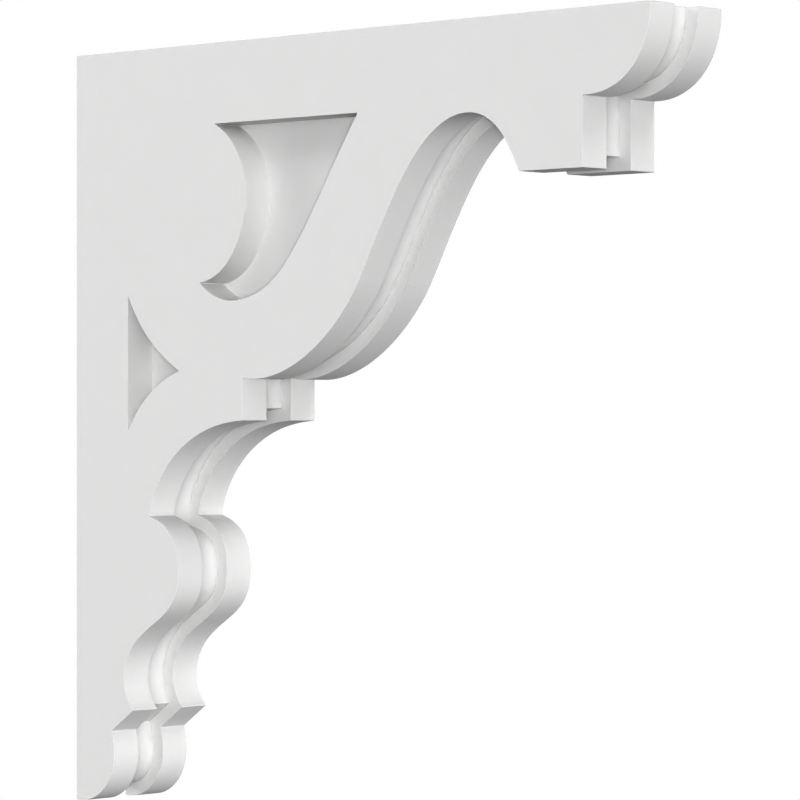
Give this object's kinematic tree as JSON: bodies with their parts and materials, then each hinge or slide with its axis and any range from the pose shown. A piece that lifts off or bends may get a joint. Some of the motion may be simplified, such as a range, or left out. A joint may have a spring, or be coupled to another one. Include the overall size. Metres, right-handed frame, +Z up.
{
  "type": "corbel",
  "caption": "Scrolled bracket of laminated boards with a grooved front and pierced sides, fixed to a wall to carry or trim an eave, beam or shelf.",
  "frame": {"origin": "centre of the flat back face, where the corbel meets the wall", "axes": "+X out from the wall, +Y across the corbel towards the right side board, +Z up"},
  "size_m": [0.762, 0.1016, 0.762],
  "materials": {
    "white_plastic": "smooth matt white"
  },
  "bodies": {
    "root": {"left_side_board": "white_plastic", "core_board": "white_plastic", "right_side_board": "white_plastic"}
  },
  "joints": []
}
